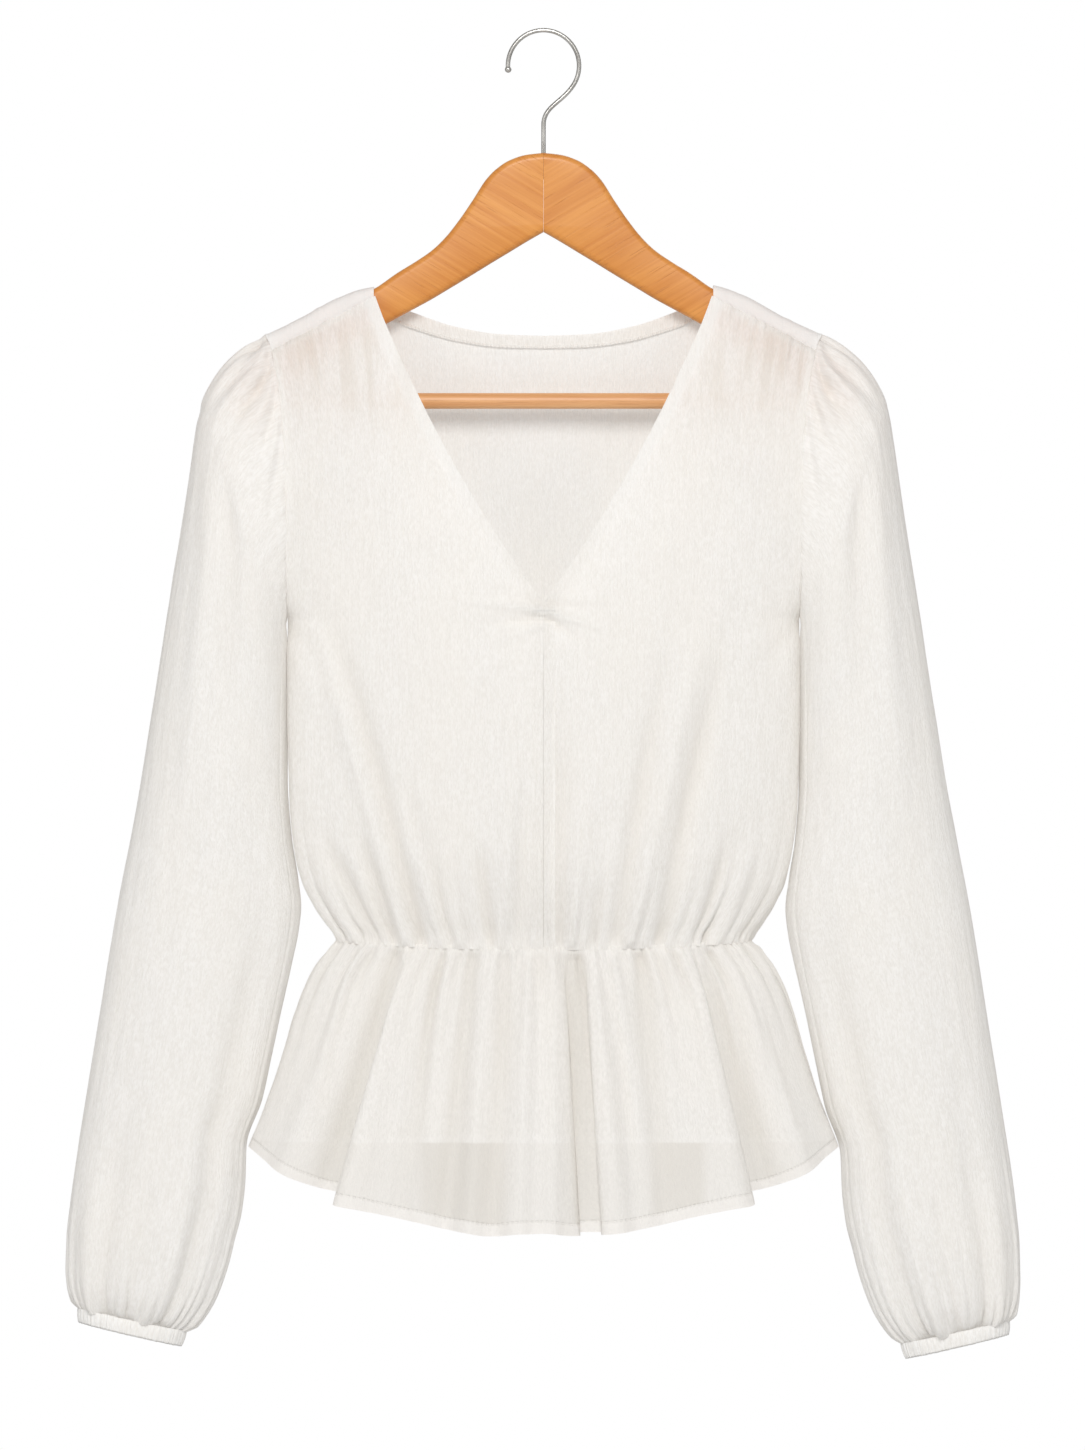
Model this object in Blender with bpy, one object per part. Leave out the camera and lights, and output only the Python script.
"""A crinkled V-neck peplum blouse with long full sleeves, hanging on a wooden hanger with a steel hook.

The origin is the highest point inside the hook's loop, where a rail would carry it. +Z is up, the blouse's
front faces -Y and +X is the viewer's right. Sizes are in millimetres and are scaled to metres when a mesh
is made. A drop is a distance down from the origin. Panels are lofted through rows of sections.
"""

import math

import bmesh
import bpy
import numpy as np

MM = 0.001
COLLECTION = "peplum_blouse_on_hanger"

# Cloth wall and seams
CLOTH = 1.4
SEAM_GAP = 0.3

# Hanger: wood, trouser bar and steel hook
WOOD_THICKNESS = 14.4
WOOD_EDGE_RADIUS = 4.5
BAR_DROP = 254.3
BAR_RADIUS = 5.5
BAR_HALF_LENGTH = 204.0
WIRE_RADIUS = 1.55
HOOK_INNER_RADIUS = 23.0
HOOK_END_ANGLE = 186.0
HOOK_TURN_ANGLE = -34.0
HOOK_LEAVING_PULL = 15.0
STEM_TOP_DROP = 64.0
STEM_TOP_PULL = 13.0
STEM_IN_WOOD = 18.0
BALL_RADIUS = 2.3

# Where the main seams lie
NECK_X = 117.0
SHOULDER_TIP_X = 190.5
SHOULDER_TIP_DROP = 208.0
NECK_SEAM_DROP = 181.6
TIP_SEAM_DROP = 218.3
TIP_SEAM_X = 187.9
TIP_EDGE_X = 189.8
UNDERARM_X = 176.8
UNDERARM_DROP = 405.0
ROUNDING_START_DROP = 335.0
FLAT_CHEST_DROP = 260.0
FLAT_POWER = 2.0
UNDERARM_POWER = 8.0
ARMHOLE_HALF_DEPTH = 35.0
ARMHOLE_TOP_NARROWING = 0.44
WAIST_DROP = 632.5
WAIST_SIDE_DROP = 627.5
SHOULDER_HALF_DEPTH = 9.4
SIDE_SEAM_FORWARD = 5.0
RIGHT_CUFF_LOWER = 8.5

# Gathers sewn into each seam
FRONT_HALF_GATHERS = 12
BACK_GATHERS = 24
PEPLUM_GATHERS = 24
CUFF_GATHERS = 24
BODICE_GATHER_SIZE = 1.7
PEPLUM_GATHER_SIZE = 1.6
SLEEVE_GATHER_SIZE = 2.0
GATHER_SHIFT = 0.22
GATHER_MEAN = 0.75
GATHER_SPREAD = 0.35

# Ribs of an elastic cuff
CUFF_THICKNESS = 2.4
CUFF_RIB = 0.7

# Narrow facing inside the back neck
FACING_HEIGHT = 9.0
FACING_THICKNESS = 1.0
FACING_REACH = 0.5


def table(columns, rows):
    """A short table as a dictionary of arrays, one for each named column."""
    values = np.array(rows, float)
    return {name: values[:, i] for i, name in enumerate(columns.split())}


# Upper and lower edge of the hanger's right arm
ARM = table("x upper_drop lower_drop", (
    (0.0, 83.2, 137.7),
    (12.0, 84.6, 144.6),
    (23.5, 88.4, 151.6),
    (33.0, 94.8, 157.3),
    (40.0, 102.2, 161.6),
    (48.6, 115.6, 166.9),
    (58.0, 129.4, 172.6),
    (68.0, 142.0, 178.6),
    (77.0, 150.6, 184.0),
    (88.0, 158.2, 190.0),
    (101.0, 166.2, 197.0),
    (118.0, 177.7, 206.6),
    (146.0, 188.9, 223.0),
    (171.0, 202.6, 240.0),
    (184.0, 211.4, 254.0),
    (193.0, 219.0, 265.0),
    (203.0, 227.4, 270.6),
    (213.0, 237.0, 268.0),
    (218.0, 246.0, 258.0),
))

# Highest line of the cloth over each shoulder
SHOULDER = table("x top_drop", (
    (112.0, 174.6),
    (118.0, 175.1),
    (126.0, 177.0),
    (146.0, 185.3),
    (171.0, 198.6),
    (190.5, 208.0),
))

# Front neck edge from the shoulder seam to the V point
NECKLINE = table("drop x", (
    (176.0, 118.0),
    (198.0, 110.0),
    (220.5, 100.0),
    (267.0, 78.0),
    (316.0, 51.0),
    (361.0, 23.0),
    (394.0, 0.0),
))

# Back neck edge from the centre back, then the line behind each shoulder
BACK_TOP = table("x drop", (
    (0.0, 208.8),
    (30.0, 207.6),
    (60.0, 202.6),
    (91.0, 192.4),
    (108.0, 185.0),
    (117.0, 181.8),
    (146.0, 196.5),
    (171.0, 209.6),
    (188.0, 218.3),
))

# Bodice: half width at the side seams, and how far the cloth stands off the hanger's plane
BODY = table("drop half_width front_depth back_depth", (
    (170.0, 176.8, 9.5, 9.5),
    (208.0, 176.8, 11.2, 15.0),
    (260.0, 176.8, 22.0, 21.0),
    (300.0, 176.8, 32.0, 27.0),
    (350.0, 176.8, 40.0, 33.0),
    (405.0, 176.8, 44.0, 37.0),
    (461.0, 177.0, 46.0, 39.0),
    (530.0, 175.5, 48.0, 41.0),
    (564.0, 172.0, 48.0, 41.0),
    (585.0, 167.0, 46.0, 40.0),
    (599.0, 160.4, 43.0, 38.0),
    (612.5, 152.0, 39.0, 35.0),
    (621.0, 145.5, 35.8, 32.6),
    (627.5, 143.0, 34.6, 31.6),
    (632.5, 142.0, 34.0, 31.0),
))

# Rows of the bodice front: drop at the neck edge or centre seam, drop at the armhole or side seam, and
# how full the waist gathers are there
FRONT_ROWS = table("centre_drop side_drop gather", (
    (181.9, 218.6, 0.0),
    (196.0, 229.0, 0.0),
    (216.0, 244.0, 0.0),
    (242.0, 264.0, 0.0),
    (275.0, 292.0, 0.0),
    (312.0, 324.0, 0.0),
    (350.0, 356.0, 0.0),
    (376.0, 381.0, 0.0),
    (394.0, 397.0, 0.0),
    (406.0, 407.0, 0.0),
    (450.0, 450.0, 0.0),
    (500.0, 500.0, 0.0),
    (545.0, 545.0, 0.25),
    (575.0, 575.0, 0.65),
    (597.0, 597.0, 0.95),
    (613.0, 610.5, 1.0),
    (624.0, 620.5, 0.8),
    (WAIST_DROP, WAIST_SIDE_DROP, 0.5),
))
FRONT_PLAIN_ROWS = 12
FRONT_PLAIN_COLUMNS = 8

# Rows of the bodice back below its neck edge; neck_shape is how far a row still follows the neck edge
BACK_ROWS = table("centre_drop side_drop neck_shape gather", (
    (208.8, 218.5, 1.0, 0.0),
    (222.0, 230.0, 0.8, 0.0),
    (242.0, 248.0, 0.55, 0.0),
    (272.0, 276.0, 0.25, 0.0),
    (312.0, 314.0, 0.0, 0.0),
    (352.0, 353.0, 0.0, 0.0),
    (380.0, 380.0, 0.0, 0.0),
    (396.0, 397.0, 0.0, 0.0),
    (407.0, 407.0, 0.0, 0.0),
    (460.0, 460.0, 0.0, 0.0),
    (515.0, 515.0, 0.0, 0.0),
    (555.0, 555.0, 0.0, 0.35),
    (585.0, 585.0, 0.0, 0.75),
    (605.0, 602.5, 0.0, 1.0),
    (620.0, 616.5, 0.0, 0.9),
    (WAIST_DROP, WAIST_SIDE_DROP, 0.0, 0.5),
))
BACK_PLAIN_ROWS = 11
BACK_NECK_COLUMNS = 7
SHOULDER_COLUMNS = 5
SHOULDER_WRAP_ANGLES = (-90.0, -55.0, -20.0, 20.0, 55.0)
SHOULDER_SQUARENESS = 0.75

# Long soft folds of the bodice, from where they fade out down to the waist seam; a trough has a
# negative height
FOLD_COLUMNS = "top_x top_drop waist_x height width"
FRONT_FOLDS = table(FOLD_COLUMNS, (
    (-150.0, 425.0, -83.0, -3.6, 8.0),
    (-160.0, 540.0, -116.0, -2.4, 6.0),
    (-133.0, 540.0, -100.0, -2.4, 5.5),
    (-88.0, 545.0, -67.0, -2.6, 5.0),
    (-49.0, 545.0, -34.0, -2.4, 6.0),
    (-19.0, 507.0, -26.0, 1.8, 8.0),
    (15.5, 425.0, 10.7, -2.4, 8.0),
    (33.0, 540.0, 19.0, 1.8, 6.0),
    (86.6, 440.0, 47.0, -3.8, 8.0),
    (114.0, 413.0, 60.0, 2.4, 9.0),
    (124.0, 430.0, 77.0, -3.6, 8.0),
    (133.5, 540.0, 106.6, -2.6, 6.0),
))
BACK_FOLDS = table(FOLD_COLUMNS, (
    (-140.0, 440.0, -92.0, -3.4, 8.0),
    (-112.0, 520.0, -70.0, 2.2, 7.0),
    (-66.0, 470.0, -46.0, -2.8, 8.0),
    (-18.0, 500.0, -12.0, -2.2, 7.0),
    (34.0, 455.0, 24.0, -3.0, 8.0),
    (88.0, 520.0, 58.0, 2.0, 8.0),
    (128.0, 430.0, 84.0, -3.6, 8.0),
    (152.0, 540.0, 112.0, -2.4, 6.0),
))

# Peplum from the waist seam to the hem: half width at the side seams and depth of its front and back
PEPLUM = table("fall half_width front_depth back_depth gather", (
    (0.0, 143.2, 34.2, 31.2, 0.5),
    (0.05, 148.5, 35.5, 32.5, 0.9),
    (0.14, 158.0, 38.5, 35.0, 1.0),
    (0.30, 168.5, 43.5, 39.0, 0.7),
    (0.52, 178.6, 49.5, 44.5, 0.38),
    (0.76, 190.0, 56.0, 50.5, 0.2),
    (1.0, 203.4, 62.0, 56.0, 0.1),
))

# Hems of the peplum: across is 0 at the centre and 1 at the side seam
FRONT_HEM = table("across drop", (
    (0.0, 825.0), (0.19, 827.0), (0.34, 821.5), (0.5, 813.5), (0.7, 802.5), (0.85, 791.0), (1.0, 769.0),
))
BACK_HEM = table("across drop", (
    (0.0, 763.0), (0.5, 764.0), (0.85, 766.0), (1.0, 769.0),
))

# Folds of the peplum: where each is at the waist seam and at the hem, and its height and width there
FLARE_COLUMNS = "seam_x hem_x seam_height hem_height seam_width hem_width"
PEPLUM_FRONT_FOLDS = table(FLARE_COLUMNS, (
    (-126.0, -176.0, 1.6, 5.0, 5.0, 11.0),
    (-99.0, -151.0, -3.4, -8.5, 5.0, 10.0),
    (-88.0, -126.0, 3.0, 7.0, 5.0, 13.0),
    (-73.0, -96.0, -2.4, -3.5, 4.5, 10.0),
    (-49.0, -66.0, -2.4, -4.5, 5.0, 10.0),
    (-36.0, -43.0, 1.8, 4.0, 5.0, 11.0),
    (-11.0, -18.0, 1.6, 5.0, 5.0, 11.0),
    (21.0, 28.0, -3.6, -9.5, 6.0, 12.0),
    (38.0, 56.0, 2.6, 6.0, 5.0, 11.0),
    (65.0, 84.0, -2.4, -3.5, 5.0, 10.0),
    (94.0, 124.0, 3.0, 7.0, 6.0, 14.0),
    (110.0, 155.0, -3.4, -8.5, 5.0, 10.0),
    (128.0, 180.0, 1.6, 5.0, 5.0, 10.0),
))
PEPLUM_BACK_FOLDS = table(FLARE_COLUMNS, (
    (-122.0, -172.0, 1.8, 5.5, 5.0, 12.0),
    (-96.0, -140.0, -3.0, -8.0, 5.0, 12.0),
    (-64.0, -98.0, 2.4, 7.0, 5.0, 14.0),
    (-38.0, -54.0, -2.6, -8.0, 5.0, 13.0),
    (-8.0, -12.0, 2.2, 6.5, 6.0, 14.0),
    (24.0, 36.0, -3.0, -8.5, 5.0, 13.0),
    (58.0, 82.0, 2.4, 7.0, 5.0, 14.0),
    (86.0, 128.0, -3.0, -8.0, 5.0, 12.0),
    (118.0, 170.0, 1.8, 5.5, 5.0, 12.0),
))

# Outline of a sleeve seen from the front
SLEEVE_OUTER = table("drop x", (
    (208.0, 190.9), (212.0, 199.0), (220.0, 211.0), (230.0, 221.5), (243.0, 230.5), (256.0, 236.5),
    (281.0, 241.0), (309.0, 245.0), (336.0, 249.0), (392.0, 258.0), (461.0, 269.0), (530.0, 280.5),
    (599.0, 294.0), (668.0, 305.0), (737.0, 316.0), (806.0, 326.5), (833.0, 329.3), (852.0, 329.6),
    (864.0, 328.2), (874.0, 325.0), (881.0, 321.5),
))
SLEEVE_INNER = table("drop x", (
    (405.0, 177.2), (420.0, 178.6), (470.0, 178.8), (520.0, 178.4), (556.0, 175.8), (585.0, 171.2),
    (604.0, 169.0), (620.0, 170.4), (640.0, 174.0), (668.0, 180.0), (709.0, 188.6), (737.0, 194.8),
    (768.0, 205.4), (792.0, 206.4), (814.0, 209.0), (833.0, 214.0), (847.0, 217.6), (861.0, 222.4),
    (875.0, 228.6), (888.0, 237.4), (897.0, 246.5),
))

# Rings of a sleeve from the armhole to the cuff seam
SLEEVE_RINGS = table("outer_drop inner_drop half_depth centre_y gather", (
    (208.0, 405.0, 35.0, 0.0, 0.0),
    (211.5, 408.0, 35.5, 0.0, 0.0),
    (219.5, 413.0, 36.5, 0.0, 0.0),
    (234.0, 420.0, 37.0, 0.5, 0.0),
    (254.0, 431.0, 37.5, 1.0, 0.0),
    (284.0, 447.0, 37.5, 2.0, 0.0),
    (325.0, 470.0, 37.0, 3.0, 0.0),
    (378.0, 500.0, 36.0, 4.0, 0.0),
    (440.0, 534.0, 35.0, 5.0, 0.0),
    (505.0, 572.0, 34.0, 6.0, 0.0),
    (568.0, 610.0, 33.5, 7.0, 0.0),
    (630.0, 654.0, 33.0, 8.0, 0.0),
    (690.0, 705.0, 32.5, 9.0, 0.0),
    (745.0, 757.0, 32.0, 9.0, 0.0),
    (790.0, 803.0, 31.5, 8.0, 0.15),
    (824.0, 839.0, 30.5, 6.0, 0.4),
    (848.0, 864.0, 28.5, 5.0, 0.75),
    (865.0, 882.0, 24.5, 4.0, 1.0),
    (881.0, 897.0, 17.0, 4.0, 0.6),
))
SLEEVE_CAP_RINGS = 6
CAP_SHAPE_RINGS = 4.0
LOWER_FROM_RING = 6.0
SLEEVE_PLAIN_RINGS = 14
SLEEVE_PLAIN_COLUMNS = 22
CAP_COLUMN_STEP = 6.75
CAP_FINE_COLUMNS = 11
CAP_WIDE_COLUMNS = 5

# Stretches of a sleeve, each a solid of its own: its name, its first ring and its last, with a gap between
# two stretches that is counted in rings
SLEEVE_STRETCHES = (("upper", 0, 8), ("middle", 8, 12), ("lower", 12, 18))
SLEEVE_STRETCH_GAP = 0.007

# Elastic cuff under the last ring, which it meets at the seam
CUFF = table("fall outer_x outer_drop inner_x inner_drop", (
    (0.0, 321.5, 881.3, 246.5, 897.3),
    (1.0, 322.5, 890.0, 248.8, 906.6),
))
CUFF_HALF_DEPTH = 17.0
CUFF_CENTRE_Y = 4.0

# Small pleats sewn into the cap of each sleeve: angle round the armhole from its top, height, width in
# degrees and the rings it crosses
CAP_PLEATS = table("angle height width length", (
    (13.5, -2.8, 5.0, 4.6),
    (27.0, 2.4, 6.0, 4.8),
    (40.5, -4.4, 5.0, 4.6),
    (54.0, 1.8, 6.0, 4.2),
    (67.5, -3.0, 5.5, 3.6),
))

# Long soft folds of a sleeve: angle round it where the fold starts and ends, the rings it runs between,
# its height, and its width in degrees
SLEEVE_FOLDS = table("top_angle low_angle first_ring last_ring height width", (
    (70.0, 100.0, 3.0, 9.0, -2.4, 15.0),
    (100.0, 80.0, 6.0, 14.0, 1.8, 16.0),
    (130.0, 120.0, 9.0, 18.0, -3.2, 13.0),
    (60.0, 62.0, 12.0, 18.0, -2.6, 13.0),
    (-70.0, -100.0, 3.0, 9.0, -2.4, 15.0),
    (-110.0, -90.0, 7.0, 15.0, 1.8, 16.0),
    (-130.0, -118.0, 10.0, 18.0, -3.0, 13.0),
    (-58.0, -60.0, 12.0, 18.0, -2.4, 13.0),
))


def curve(data, key, column, at):
    """A column's value on a smooth curve through the table's rows that never overshoots them."""
    x = data[key]
    y = data[column]
    at = min(max(at, x[0]), x[-1])
    i = int(min(max(np.searchsorted(x, at) - 1, 0), len(x) - 2))
    step = np.diff(x)
    rise = np.diff(y) / step

    def slope(j):
        if j in (0, len(x) - 1):
            return rise[min(j, len(rise) - 1)]
        if rise[j - 1] * rise[j] <= 0:
            return 0.0
        return 2 * rise[j - 1] * rise[j] / (rise[j - 1] + rise[j])

    s = (at - x[i]) / step[i]
    start = (1 + 2 * s) * (1 - s) ** 2 * y[i] + s * (1 - s) ** 2 * step[i] * slope(i)
    end = s * s * (3 - 2 * s) * y[i + 1] - s * s * (1 - s) * step[i] * slope(i + 1)
    return float(start + end)


def row_value(rows, column, row):
    """A column's value at a row number, which may lie between two rows or just outside them."""
    values = rows[column]
    i = int(min(max(math.floor(row), 0), len(values) - 2))
    return float(values[i] + (values[i + 1] - values[i]) * (row - i))


def ease(x):
    """0 below 0, 1 above 1 and a smooth step between."""
    x = min(max(x, 0.0), 1.0)
    return x * x * (3 - 2 * x)


def blend(a, b, share):
    return a + (b - a) * share


def bump(distance, width):
    """A soft ridge of height 1 across a fold."""
    return math.exp(-((distance / width) ** 2))


def uneven(number, seed):
    """A steady value between -1 and 1 that makes similar gathers unequal."""
    return math.sin(number * 2.399 + seed) * math.cos(number * 0.731 + seed * 1.7)


def turned(angle):
    """An angle brought to between -180 and 180."""
    return (angle + 180.0) % 360.0 - 180.0


def principled(name, srgb, roughness, metallic=0.0):
    material = bpy.data.materials.new(name)
    material.use_nodes = True
    shader = material.node_tree.nodes["Principled BSDF"]
    linear = [c / 12.92 if c <= 0.04045 else ((c + 0.055) / 1.055) ** 2.4 for c in srgb]
    shader.inputs["Base Color"].default_value = (*linear, 1.0)
    shader.inputs["Roughness"].default_value = roughness
    shader.inputs["Metallic"].default_value = metallic
    material.diffuse_color = (*srgb, 1.0)
    return material


def add_object(name, mesh, material, collection):
    mesh.materials.clear()
    mesh.materials.append(material)
    mesh.shade_smooth()
    mesh.set_sharp_from_angle(angle=math.radians(50))
    made = bpy.data.objects.new(name, mesh)
    collection.objects.link(made)
    return made


class Cloth:
    """A cloth wall: an outer skin, an inner skin a cloth's thickness behind it, and a rim at each edge.

    facing is 1 or -1, whichever turns the surface's normal outwards.
    """

    def __init__(self, surface, facing):
        self.surface = surface
        self.facing = facing
        self.outer = []
        self.inner = []
        self.faces = []

    def normal(self, u, v):
        """The surface's own normal, without its folds."""
        du = 1e-4
        dv = 1e-3
        across = (self.surface(u + du, v) - self.surface(u - du, v)) / du
        down = (self.surface(u, v + dv) - self.surface(u, v - dv)) / dv
        normal = np.cross(down, across) * self.facing
        return normal / np.linalg.norm(normal)

    def row(self, columns, v, height=None, thickness=CLOTH):
        """Adds the points of one row, raised by the folds' height, and gives their numbers by column."""
        made = []
        for number, u in enumerate(columns):
            normal = self.normal(u, v)
            raised = height(number, u, v) if height else 0.0
            point = self.surface(u, v) + normal * raised
            made.append((u, self.add(point, point - normal * thickness)))
        return made

    def add(self, outer, inner):
        self.outer.append(outer)
        self.inner.append(inner)
        return len(self.outer) - 1

    def join(self, upper, lower):
        """Faces between two rows, which may have unlike numbers of columns."""
        i = 0
        j = 0
        while i < len(upper) - 1 or j < len(lower) - 1:
            next_upper = upper[i + 1][0] if i < len(upper) - 1 else math.inf
            next_lower = lower[j + 1][0] if j < len(lower) - 1 else math.inf
            face = [upper[i][1], lower[j][1]]
            if next_lower <= next_upper + 1e-6:
                j += 1
                face.append(lower[j][1])
            if next_upper <= next_lower + 1e-6:
                i += 1
                face.append(upper[i][1])
            self.faces.append(tuple(face))

    def join_rings(self, upper, lower):
        """Faces between two closed rings, whose columns are angles from 0."""
        self.join(upper + [(360.0, upper[0][1])], lower + [(360.0, lower[0][1])])

    def make(self, name, material, collection):
        """The finished wall as an object."""
        shift = len(self.outer)
        uses = {}
        for face in self.faces:
            for a, b in zip(face, face[1:] + face[:1]):
                uses.setdefault(frozenset((a, b)), []).append((a, b))
        faces = list(self.faces)
        faces += [tuple(i + shift for i in reversed(face)) for face in self.faces]
        for used in uses.values():
            if len(used) == 1:
                a, b = used[0]
                faces.append((b, a, a + shift, b + shift))
        mesh = bpy.data.meshes.new(name)
        points = np.array(self.outer + self.inner) * MM
        mesh.from_pydata(points.tolist(), [], faces)
        solid = bmesh.new()
        solid.from_mesh(mesh)
        bmesh.ops.recalc_face_normals(solid, faces=solid.faces)
        solid.to_mesh(mesh)
        solid.free()
        return add_object(name, mesh, material, collection)


def armhole_angle(drop):
    """The angle round the armhole at a drop: 0 is the shoulder tip, 90 the front and 180 the underarm."""
    middle = (SHOULDER_TIP_DROP + UNDERARM_DROP) / 2
    half = (UNDERARM_DROP - SHOULDER_TIP_DROP) / 2
    return math.degrees(math.acos(min(max((middle - drop) / half, -1.0), 1.0)))


def armhole_point(angle):
    """How far out and how far forward of the hanger's plane the armhole seam is."""
    turn = math.radians(angle)
    top = (1 + math.cos(turn)) / 2
    x = UNDERARM_X + (SHOULDER_TIP_X - UNDERARM_X) * top**4
    forward = ARMHOLE_HALF_DEPTH * math.sin(turn) * (1 - ARMHOLE_TOP_NARROWING * top**2)
    return x, forward


def outer_edge(drop):
    """Where a bodice panel ends at this drop: along the armhole, then the side seam."""
    if drop < UNDERARM_DROP:
        return armhole_point(armhole_angle(drop))
    return curve(BODY, "drop", "half_width", drop), 0.0


def section_point(t, inner_x, centre_drop, side_drop, depth_column):
    """A point of a bodice section: x, distance from the hanger's plane, and drop.

    Low down the section rounds to the side seam, and beside the armhole it stays flat.
    """
    outer_x, edge = outer_edge(side_drop)
    quarter = math.pi / 2 * t
    if edge > 0:
        rounded = 0.9 * ease((side_drop - ROUNDING_START_DROP) / (UNDERARM_DROP - ROUNDING_START_DROP))
        across = blend(t, math.sin(quarter), rounded)
        drop = blend(centre_drop, side_drop, abs(across))
    else:
        across = math.sin(quarter)
        drop = blend(centre_drop, side_drop, across**2)
    x = inner_x + (outer_x - inner_x) * across
    crown = curve(BODY, "drop", depth_column, drop)
    if edge > 0:
        share = abs(x) / outer_x
        low = ease((side_drop - FLAT_CHEST_DROP) / (UNDERARM_DROP - FLAT_CHEST_DROP))
        power = blend(FLAT_POWER, UNDERARM_POWER, low)
        return x, math.sqrt(crown**2 * (1 - share**2) + edge**2 * share**power), drop
    return x, crown * math.cos(quarter), drop


def front_surface(side):
    """The right or left bodice front: t is 0 at the neck edge or centre seam and 1 at the armhole."""

    def point(t, row):
        centre_drop = row_value(FRONT_ROWS, "centre_drop", row)
        side_drop = row_value(FRONT_ROWS, "side_drop", row)
        inner_x = curve(NECKLINE, "drop", "x", centre_drop) + SEAM_GAP / 2
        x, depth, drop = section_point(t, inner_x, centre_drop, side_drop, "front_depth")
        return np.array((side * x, -depth - SEAM_GAP / 2, -drop))

    return point


def back_surface(t, row):
    """The bodice back below its neck edge: t runs from -1 at the left armhole to 1 at the right."""
    centre_drop = row_value(BACK_ROWS, "centre_drop", row)
    side_drop = row_value(BACK_ROWS, "side_drop", row)
    neck = row_value(BACK_ROWS, "neck_shape", row)
    x, depth, level = section_point(t, 0.0, centre_drop, side_drop, "back_depth")
    followed = curve(BACK_TOP, "x", "drop", abs(x)) + centre_drop - BACK_TOP["drop"][0]
    shoulder = ease((abs(x) - 60.0) / 60.0) * neck
    depth = blend(depth, SHOULDER_HALF_DEPTH, shoulder)
    return np.array((x, depth + SEAM_GAP / 2, -blend(level, followed, neck)))


def seam_drop(x):
    """Drop of the sewn shoulder seam, in front of the hanger."""
    return blend(NECK_SEAM_DROP, TIP_SEAM_DROP, (x - NECK_X) / (TIP_SEAM_X - NECK_X))


def shoulder_point(share, angle, inset):
    """A point of the cloth over the right shoulder, the inset deep in it.

    share runs from the neck edge to the armhole, and the angle from the seam in front, at -90, to the back.
    """
    turn = math.radians(angle)
    round_top = math.cos(turn) ** SHOULDER_SQUARENESS
    round_side = math.copysign(abs(math.sin(turn)) ** SHOULDER_SQUARENESS, turn)
    x = blend(NECK_X, blend(TIP_SEAM_X, TIP_EDGE_X, math.cos(turn)), share)
    top = curve(SHOULDER, "x", "top_drop", x)
    low = seam_drop(x) if angle < 0 else curve(BACK_TOP, "x", "drop", x)
    drop = low - (low - top - inset) * round_top
    y = (SHOULDER_HALF_DEPTH - inset) * round_side
    return np.array((x, y + SEAM_GAP / 2, -drop))


def peplum_surface(hem, depth_column, face):
    """The peplum's front or back: t runs from -1 to 1 across it and fall from 0 at the waist to 1 at the hem."""

    def point(t, fall):
        quarter = math.pi / 2 * t
        top = blend(WAIST_DROP, WAIST_SIDE_DROP, math.sin(quarter) ** 2) + SEAM_GAP
        drop = top + fall * (curve(hem, "across", "drop", abs(math.sin(quarter))) - top)
        half_width = curve(PEPLUM, "fall", "half_width", fall)
        depth = curve(PEPLUM, "fall", depth_column, fall)
        y = face * (depth * math.cos(quarter) + SEAM_GAP / 2) - SIDE_SEAM_FORWARD * fall
        return np.array((half_width * math.sin(quarter), y, -drop))

    return point


def sleeve_surface(side, lower):
    """A sleeve: the angle goes round it from its outer edge over the front, and ring is the ring's number."""

    last = len(SLEEVE_RINGS["gather"]) - 1

    def point(angle, ring):
        turn = math.radians(angle)
        mix = (1 + math.cos(turn)) / 2
        outer_drop = row_value(SLEEVE_RINGS, "outer_drop", ring)
        inner_drop = row_value(SLEEVE_RINGS, "inner_drop", ring)
        half_depth = row_value(SLEEVE_RINGS, "half_depth", ring)
        centre_y = row_value(SLEEVE_RINGS, "centre_y", ring)
        outer_x = curve(SLEEVE_OUTER, "drop", "x", outer_drop)
        inner_x = curve(SLEEVE_INNER, "drop", "x", inner_drop)
        near = 1 - ease(ring / CAP_SHAPE_RINGS)
        bow = armhole_point(angle)[0] - blend(UNDERARM_X, SHOULDER_TIP_X, mix)
        x = blend(inner_x, outer_x, mix) + bow * near
        narrowed = 1 - ARMHOLE_TOP_NARROWING * mix**2 * near
        y = centre_y - half_depth * math.sin(turn) * narrowed
        drop = blend(inner_drop, outer_drop, mix) + lower * ease((ring - LOWER_FROM_RING) / (last - LOWER_FROM_RING))
        return np.array((side * x, y, -drop))

    return point


def cuff_surface(side, lower):
    """An elastic cuff: the angle goes round it as on the sleeve, and fall from 0 at the seam to 1."""

    def point(angle, fall):
        turn = math.radians(angle)
        mix = (1 + math.cos(turn)) / 2
        x = blend(row_value(CUFF, "inner_x", fall), row_value(CUFF, "outer_x", fall), mix)
        drop = blend(row_value(CUFF, "inner_drop", fall), row_value(CUFF, "outer_drop", fall), mix)
        y = CUFF_CENTRE_Y - CUFF_HALF_DEPTH * math.sin(turn)
        return np.array((side * x, y, -drop - lower))

    return point


def fold_height(folds, x, drop):
    """Height of the bodice's long folds at a place."""
    total = 0.0
    for top_x, top_drop, waist_x, height, width in zip(*folds.values()):
        share = (drop - top_drop) / (WAIST_DROP - top_drop)
        if share > 0:
            centre = blend(top_x, waist_x, share)
            total += height * ease(share * 1.4) * bump(x - centre, width * (1.6 - 0.6 * share))
    return total


def flare_height(folds, x, fall):
    """Height of the peplum's folds at a place."""
    total = 0.0
    for seam_x, hem_x, seam_height, hem_height, seam_width, hem_width in zip(*folds.values()):
        centre = blend(seam_x, hem_x, fall)
        height = blend(seam_height, hem_height, fall) * blend(0.45, 1.0, ease(fall * 8))
        total += height * bump(x - centre, blend(seam_width, hem_width, fall))
    return total


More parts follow.
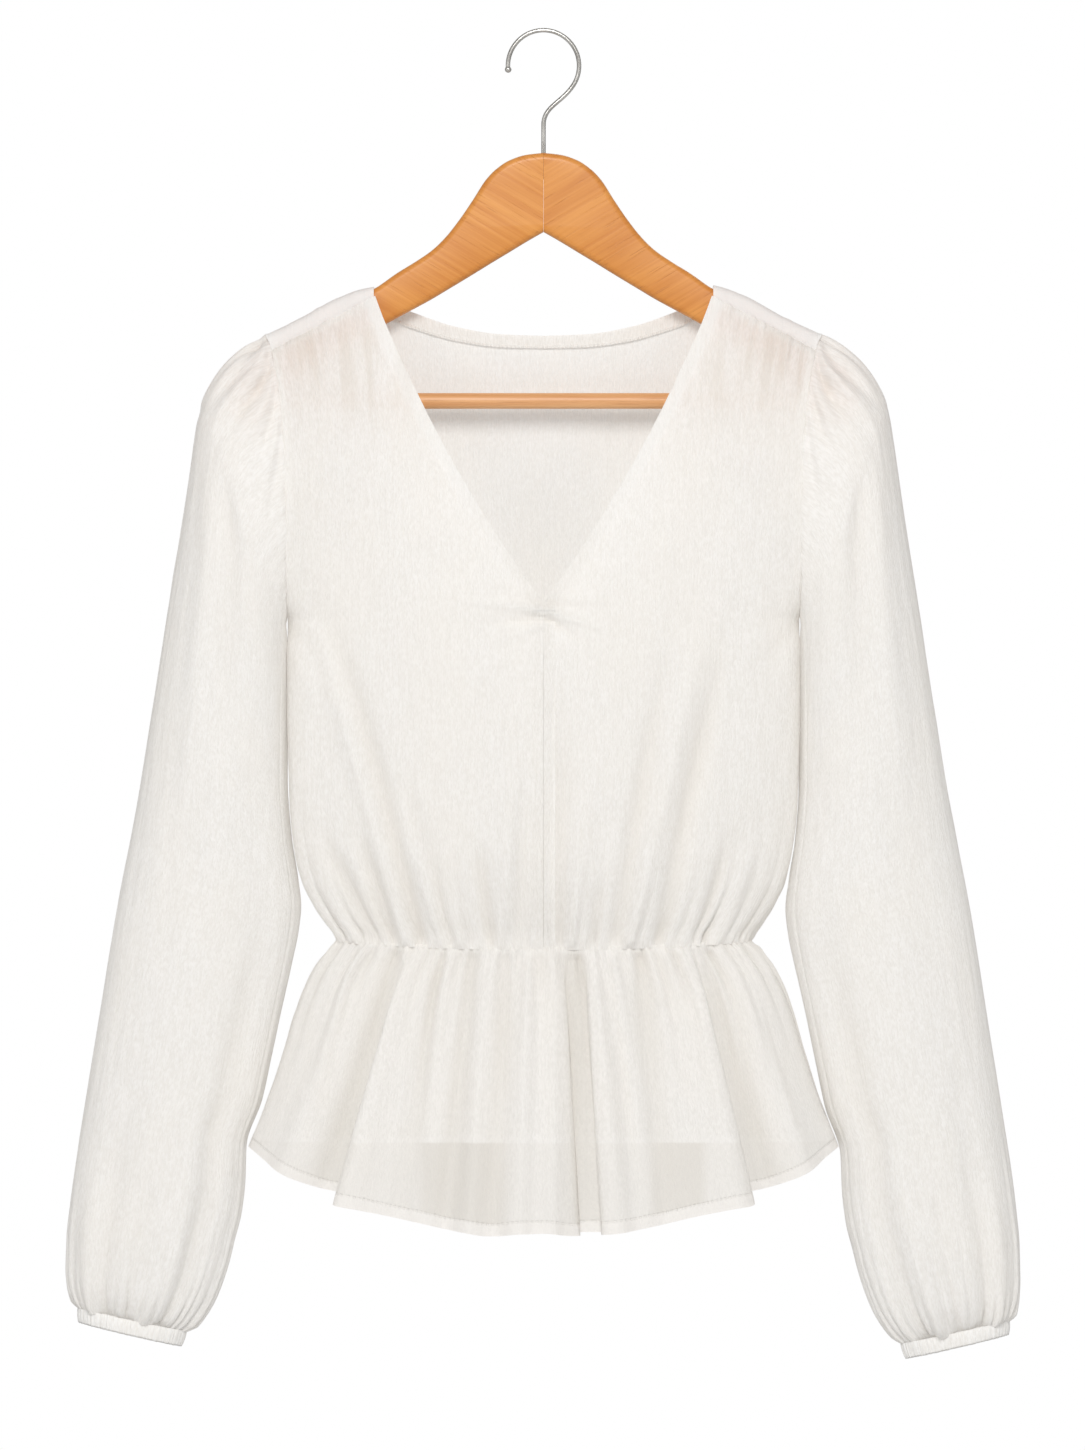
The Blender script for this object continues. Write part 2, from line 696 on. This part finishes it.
def sleeve_fold_height(angle, ring):
    """Height of a sleeve's long folds and cap pleats at a place."""
    total = 0.0
    for top, low, first, last, height, width in zip(*SLEEVE_FOLDS.values()):
        share = min(max((ring - first) / (last - first), 0.0), 1.0)
        fades = last < len(SLEEVE_RINGS["gather"]) - 1
        strength = ease(share * 3) * (ease((1 - share) * 3) if fades else 1.0)
        total += height * strength * bump(turned(angle - blend(top, low, share)), width)
    for place, height, width, length in zip(*CAP_PLEATS.values()):
        strength = blend(0.35, 1.0, ease(ring / 1.5)) * (1 - ease(ring / length))
        total += height * strength * bump(turned(angle - place), width)
        total += height * strength * bump(turned(angle + place), width)
    return total


def even_columns(count, first=0.0, last=1.0):
    return [blend(first, last, i / count) for i in range(count + 1)]


def gather_columns(count, seed, first=0.0, last=1.0):
    """Two columns a gather, a ridge and a trough, unevenly spaced between the two ends."""
    total = 2 * count
    shifts = [0.0 if i in (0, total) else GATHER_SHIFT * uneven(i, seed) for i in range(total + 1)]
    return [blend(first, last, (i + shift) / total) for i, shift in enumerate(shifts)]


def gather_height(number, seed, full, size):
    """Ridges at odd columns, troughs at even ones, no two alike."""
    return (1 if number % 2 else -1) * size * full * (GATHER_MEAN + GATHER_SPREAD * uneven(number, seed))


def seam_calm(number, count):
    """0 at the two ends of a gathered row, where it meets the next panel, and 1 inside."""
    return min(1.0, number / 1.5, (count - 1 - number) / 1.5)


def bodice_front(name, side, material, collection):
    surface = front_surface(side)
    cloth = Cloth(surface, side)
    plain = even_columns(FRONT_PLAIN_COLUMNS)
    gathered = gather_columns(FRONT_HALF_GATHERS, 2.5 + 1.5 * side)

    def height(number, t, row):
        x, _, z = surface(t, row)
        folds = fold_height(FRONT_FOLDS, x, -z)
        if row < FRONT_PLAIN_ROWS:
            return folds
        full = row_value(FRONT_ROWS, "gather", row)
        calm = seam_calm(number, len(gathered))
        return folds + gather_height(number, side, full, BODICE_GATHER_SIZE) * calm

    above = None
    for row in range(len(FRONT_ROWS["gather"])):
        here = cloth.row(plain if row < FRONT_PLAIN_ROWS else gathered, row, height)
        if above:
            cloth.join(above, here)
        above = here
    return cloth.make(name, material, collection)


def back_columns():
    """Columns of the plain part of the back, with one at each end of the neck edge."""
    corner = NECK_X / TIP_SEAM_X
    half = even_columns(BACK_NECK_COLUMNS, 0.0, corner)[:-1]
    half += even_columns(SHOULDER_COLUMNS, corner, 1.0)
    return [-t for t in reversed(half[1:])] + half


def bodice_back(name, material, collection):
    cloth = Cloth(back_surface, -1)
    plain = back_columns()
    gathered = gather_columns(BACK_GATHERS, 2.5, -1.0, 1.0)

    def height(number, t, row):
        x, _, z = back_surface(t, row)
        folds = fold_height(BACK_FOLDS, x, -z)
        if row < BACK_PLAIN_ROWS:
            return folds
        full = row_value(BACK_ROWS, "gather", row)
        gathers = gather_height(number, 3.0, full, BODICE_GATHER_SIZE)
        return folds + gathers * seam_calm(number, len(gathered))

    rows = []
    for row in range(len(BACK_ROWS["gather"])):
        rows.append(cloth.row(plain if row < BACK_PLAIN_ROWS else gathered, row, height))
    for above, here in zip(rows, rows[1:]):
        cloth.join(above, here)
    add_shoulder(cloth, 1, rows[0][-SHOULDER_COLUMNS - 1 :])
    add_shoulder(cloth, -1, rows[0][SHOULDER_COLUMNS::-1])
    return cloth.make(name, material, collection)


def add_shoulder(cloth, side, behind):
    """Cloth of the back that comes forward over one shoulder to its seam, from the row behind the shoulder."""
    shares = even_columns(SHOULDER_COLUMNS)
    behind = [(share, number) for share, (_, number) in zip(shares, behind)]
    above = None
    for angle in SHOULDER_WRAP_ANGLES:
        here = []
        for share in shares:
            outer = shoulder_point(share, angle, 0.0) * (side, 1, 1)
            inner = shoulder_point(share, angle, CLOTH) * (side, 1, 1)
            here.append((share, cloth.add(outer, inner)))
        if above:
            cloth.join(above, here)
        above = here
    cloth.join(above, behind)


def neck_facing(name, material, collection):
    """A narrow turned facing inside the back neck, laid on the back's inner face."""
    cloth = Cloth(back_surface, -1)
    fall = FACING_HEIGHT / (BACK_ROWS["centre_drop"][1] - BACK_ROWS["centre_drop"][0])
    inside = -CLOTH - SEAM_GAP
    above = None
    for row in even_columns(2, 0.0, fall):
        columns = even_columns(16, -FACING_REACH, FACING_REACH)
        here = cloth.row(columns, row, lambda number, t, v: inside, FACING_THICKNESS)
        if above:
            cloth.join(above, here)
        above = here
    return cloth.make(name, material, collection)


def peplum_panel(name, surface, face, folds, seed, material, collection):
    cloth = Cloth(surface, -face)
    columns = gather_columns(PEPLUM_GATHERS, seed, -1.0, 1.0)

    def height(number, t, fall):
        full = curve(PEPLUM, "fall", "gather", fall)
        total = flare_height(folds, surface(t, fall)[0], fall)
        total += gather_height(number, seed, full, PEPLUM_GATHER_SIZE)
        return total * seam_calm(number, len(columns))

    above = None
    for fall in PEPLUM["fall"]:
        here = cloth.row(columns, fall, height)
        if above:
            cloth.join(above, here)
        above = here
    return cloth.make(name, material, collection)


def cap_columns():
    """Angles round a sleeve's cap, close where its pleats are."""
    fine = [CAP_COLUMN_STEP * i for i in range(CAP_FINE_COLUMNS + 1)]
    wide = even_columns(CAP_WIDE_COLUMNS, fine[-1], 180.0)[1:]
    half = fine + wide
    return half + [360.0 - angle for angle in reversed(half[1:-1])]


def stretch_rings(first, last):
    """Ring numbers of a stretch, drawn in where it meets the next stretch."""
    rings = [float(ring) for ring in range(first, last + 1)]
    if first > 0:
        rings[0] += SLEEVE_STRETCH_GAP / 2
    if last < len(SLEEVE_RINGS["gather"]) - 1:
        rings[-1] -= SLEEVE_STRETCH_GAP / 2
    return rings


def sleeve(name, side, first, last, material, collection):
    """One stretch of a sleeve, a tube from its first ring to its last."""
    cloth = Cloth(sleeve_surface(side, RIGHT_CUFF_LOWER if side > 0 else 0.0), -side)
    plain = even_columns(SLEEVE_PLAIN_COLUMNS, 0.0, 360.0)[:-1]
    gathered = gather_columns(CUFF_GATHERS, 6.0 + side, 0.0, 360.0)[:-1]

    def height(number, angle, ring):
        folds = sleeve_fold_height(turned(angle), ring)
        if ring < SLEEVE_PLAIN_RINGS:
            return folds
        full = row_value(SLEEVE_RINGS, "gather", ring)
        return folds + gather_height(number, 5.0 + side, full, SLEEVE_GATHER_SIZE)

    above = None
    for ring in stretch_rings(first, last):
        columns = plain if ring < SLEEVE_PLAIN_RINGS else gathered
        here = cloth.row(cap_columns() if ring < SLEEVE_CAP_RINGS else columns, ring, height)
        if above:
            cloth.join_rings(above, here)
        above = here
    return cloth.make(name, material, collection)


def cuff(name, side, material, collection):
    cloth = Cloth(cuff_surface(side, RIGHT_CUFF_LOWER if side > 0 else 0.0), -side)
    columns = even_columns(2 * CUFF_GATHERS, 0.0, 360.0)[:-1]

    def height(number, angle, fall):
        return CUFF_RIB * (1 if number % 2 else 0)

    upper = cloth.row(columns, 0.0, height, CUFF_THICKNESS)
    lower = cloth.row(columns, 1.0, height, CUFF_THICKNESS)
    cloth.join_rings(upper, lower)
    return cloth.make(name, material, collection)


def hanger_outline():
    """The whole hanger seen from the front, as points in metres."""
    xs = ARM["x"]
    stations = sorted(set(xs) | set((xs[:-1] + xs[1:]) / 2))
    upper = [(x, -curve(ARM, "x", "upper_drop", x)) for x in stations]
    lower = [(x, -curve(ARM, "x", "lower_drop", x)) for x in xs]
    right = upper[1:] + lower[:0:-1]
    left = [(-x, z) for x, z in reversed(right)]
    whole = [upper[0]] + right + [lower[0]] + left
    return [(x * MM, z * MM) for x, z in whole]


def curve_mesh(name, curve_data, turn=0.0):
    """A curve's mesh with its caps welded on, turned about the X axis."""
    holder = bpy.data.objects.new(name, curve_data)
    bpy.context.scene.collection.objects.link(holder)
    holder.rotation_euler.x = turn
    bpy.context.view_layer.update()
    evaluated = holder.evaluated_get(bpy.context.evaluated_depsgraph_get())
    mesh = bpy.data.meshes.new_from_object(evaluated)
    mesh.transform(holder.matrix_world)
    solid = bmesh.new()
    solid.from_mesh(mesh)
    bmesh.ops.remove_doubles(solid, verts=solid.verts, dist=1e-6)
    bmesh.ops.recalc_face_normals(solid, faces=solid.faces)
    solid.to_mesh(mesh)
    solid.free()
    bpy.data.objects.remove(holder)
    return mesh


def poly_curve(name, points, cyclic):
    data = bpy.data.curves.new(name, "CURVE")
    spline = data.splines.new("POLY")
    spline.points.add(len(points) - 1)
    for target, point in zip(spline.points, points):
        target.co = (*point, 1.0)
    spline.use_cyclic_u = cyclic
    return data


def cutter(name, radius, depth, location, rotation, collection):
    bpy.ops.mesh.primitive_cylinder_add(
        vertices=16, radius=radius * MM, depth=depth * MM, location=location, rotation=rotation
    )
    made = bpy.context.object
    made.name = name
    for home in list(made.users_collection):
        home.objects.unlink(made)
    collection.objects.link(made)
    made.hide_render = True
    made.display_type = "WIRE"
    return made


def subtract(target, cutters):
    for tool in cutters:
        modifier = target.modifiers.new(tool.name, "BOOLEAN")
        modifier.operation = "DIFFERENCE"
        modifier.object = tool


def hanger_arm(name, side, material, collection, cutters):
    """One arm of the wooden hanger, cut at the centre joint."""
    data = poly_curve(name, [(x, z, 0.0) for x, z in hanger_outline()], True)
    data.dimensions = "2D"
    data.fill_mode = "BOTH"
    data.extrude = (WOOD_THICKNESS / 2 - WOOD_EDGE_RADIUS) * MM
    data.bevel_depth = WOOD_EDGE_RADIUS * MM
    data.bevel_resolution = 1
    data.offset = -WOOD_EDGE_RADIUS * MM
    mesh = curve_mesh(name, data, math.pi / 2)
    solid = bmesh.new()
    solid.from_mesh(mesh)
    everything = solid.verts[:] + solid.edges[:] + solid.faces[:]
    joint = (side * SEAM_GAP / 2 * MM, 0.0, 0.0)
    bmesh.ops.bisect_plane(solid, geom=everything, plane_co=joint, plane_no=(-side, 0, 0), clear_outer=True)
    bmesh.ops.holes_fill(solid, edges=[e for e in solid.edges if e.is_boundary], sides=0)
    bmesh.ops.recalc_face_normals(solid, faces=solid.faces)
    solid.to_mesh(mesh)
    solid.free()
    arm = add_object(name, mesh, material, collection)
    subtract(arm, cutters)
    return arm


def hook_route():
    """Centre line of the hook: round the loop from its ball end, back under it, and down the stem."""
    radius = HOOK_INNER_RADIUS + WIRE_RADIUS
    centre = -HOOK_INNER_RADIUS
    turns = even_columns(18, HOOK_END_ANGLE, HOOK_TURN_ANGLE)
    arc = [(radius * math.cos(math.radians(a)), centre + radius * math.sin(math.radians(a))) for a in turns]
    start = np.array(arc[-1])
    leaving = math.radians(HOOK_TURN_ANGLE - 90.0)
    first = start + HOOK_LEAVING_PULL * np.array((math.cos(leaving), math.sin(leaving)))
    end = np.array((0.0, -STEM_TOP_DROP))
    second = end + np.array((0.0, STEM_TOP_PULL))
    sway = []
    for s in even_columns(9)[1:]:
        r = 1 - s
        sway.append(tuple(r**3 * start + 3 * r * r * s * first + 3 * r * s * s * second + s**3 * end))
    stem_end = -(ARM["upper_drop"][0] + STEM_IN_WOOD)
    return arc + sway + [(0.0, blend(-STEM_TOP_DROP, stem_end, 0.5)), (0.0, stem_end)]


def hook(name, material, collection):
    route = hook_route()
    data = poly_curve(name, [(x * MM, 0.0, z * MM) for x, z in route], False)
    data.dimensions = "3D"
    data.bevel_depth = WIRE_RADIUS * MM
    data.bevel_resolution = 2
    data.use_fill_caps = True
    wire = add_object(name, curve_mesh(name, data), material, collection)
    ball = bmesh.new()
    bmesh.ops.create_uvsphere(ball, u_segments=12, v_segments=8, radius=BALL_RADIUS * MM)
    bmesh.ops.translate(ball, verts=ball.verts, vec=(route[0][0] * MM, 0.0, route[0][1] * MM))
    ball_mesh = bpy.data.meshes.new(name + "_ball")
    ball.to_mesh(ball_mesh)
    ball.free()
    tip = bpy.data.objects.new(name + "_ball", ball_mesh)
    cutters_home().objects.link(tip)
    tip.hide_render = True
    tip.display_type = "WIRE"
    union = wire.modifiers.new("ball_end", "BOOLEAN")
    union.operation = "UNION"
    union.object = tip
    return wire


def trouser_bar(name, material, collection):
    bpy.ops.mesh.primitive_cylinder_add(
        vertices=20,
        radius=BAR_RADIUS * MM,
        depth=2 * BAR_HALF_LENGTH * MM,
        location=(0.0, 0.0, -BAR_DROP * MM),
        rotation=(0.0, math.pi / 2, 0.0),
    )
    made = bpy.context.object
    made.name = name
    made.data.materials.append(material)
    made.data.shade_smooth()
    made.data.set_sharp_from_angle(angle=math.radians(50))
    for home in list(made.users_collection):
        home.objects.unlink(made)
    collection.objects.link(made)
    return made


def cutters_home():
    """The collection of the tools that cut or join other pieces."""
    home = bpy.data.collections.get("cutters")
    if home is None:
        home = bpy.data.collections.new("cutters")
        bpy.context.scene.collection.children.link(home)
    return home


def hanger(materials, collection):
    crest = ARM["upper_drop"][0]
    bore_depth = STEM_IN_WOOD + SEAM_GAP
    bore = cutter(
        "stem_bore",
        WIRE_RADIUS + SEAM_GAP,
        2 * bore_depth,
        (0.0, 0.0, -crest * MM),
        (0.0, 0.0, 0.0),
        cutters_home(),
    )
    socket = cutter(
        "bar_socket",
        BAR_RADIUS + SEAM_GAP,
        2 * (BAR_HALF_LENGTH + SEAM_GAP),
        (0.0, 0.0, -BAR_DROP * MM),
        (0.0, math.pi / 2, 0.0),
        cutters_home(),
    )
    hanger_arm("hanger_arm_left", -1, materials["arm_left"], collection, (bore, socket))
    hanger_arm("hanger_arm_right", 1, materials["arm_right"], collection, (bore, socket))
    trouser_bar("trouser_bar", materials["bar"], collection)
    hook("hanger_hook", materials["hook"], collection)


def blouse(materials, collection):
    bodice_front("bodice_front_left", -1, materials["front_left"], collection)
    bodice_front("bodice_front_right", 1, materials["front_right"], collection)
    bodice_back("bodice_back", materials["back"], collection)
    neck_facing("back_neck_facing", materials["facing"], collection)
    front = peplum_surface(FRONT_HEM, "front_depth", -1)
    back = peplum_surface(BACK_HEM, "back_depth", 1)
    peplum_panel("peplum_front", front, -1, PEPLUM_FRONT_FOLDS, 1.3, materials["peplum_front"], collection)
    peplum_panel("peplum_back", back, 1, PEPLUM_BACK_FOLDS, 4.1, materials["peplum_back"], collection)
    for side, word in ((-1, "left"), (1, "right")):
        for stretch, first, last in SLEEVE_STRETCHES:
            name = f"sleeve_{word}_{stretch}"
            sleeve(name, side, first, last, materials["sleeve_" + word], collection)
        cuff("cuff_" + word, side, materials["cuff_" + word], collection)


def make_materials():
    colours = {
        "front_left": (0.953, 0.941, 0.914),
        "front_right": (0.953, 0.941, 0.914),
        "back": (0.941, 0.925, 0.906),
        "facing": (0.949, 0.937, 0.918),
        "peplum_front": (0.918, 0.902, 0.886),
        "peplum_back": (0.914, 0.898, 0.878),
        "sleeve_left": (0.937, 0.925, 0.906),
        "sleeve_right": (0.937, 0.925, 0.906),
        "cuff_left": (0.949, 0.933, 0.914),
        "cuff_right": (0.949, 0.933, 0.914),
    }
    materials = {name: principled(name + "_crepe", colour, 0.85) for name, colour in colours.items()}
    materials["arm_left"] = principled("arm_left_wood", (0.89, 0.624, 0.373), 0.42)
    materials["arm_right"] = principled("arm_right_wood", (0.886, 0.6, 0.329), 0.42)
    materials["bar"] = principled("bar_wood", (0.894, 0.702, 0.506), 0.45)
    materials["hook"] = principled("hook_steel", (0.871, 0.863, 0.843), 0.28, 1.0)
    return materials


def main():
    for old in list(bpy.data.objects):
        bpy.data.objects.remove(old)
    collection = bpy.data.collections.new(COLLECTION)
    bpy.context.scene.collection.children.link(collection)
    materials = make_materials()
    hanger(materials, collection)
    blouse(materials, collection)


main()
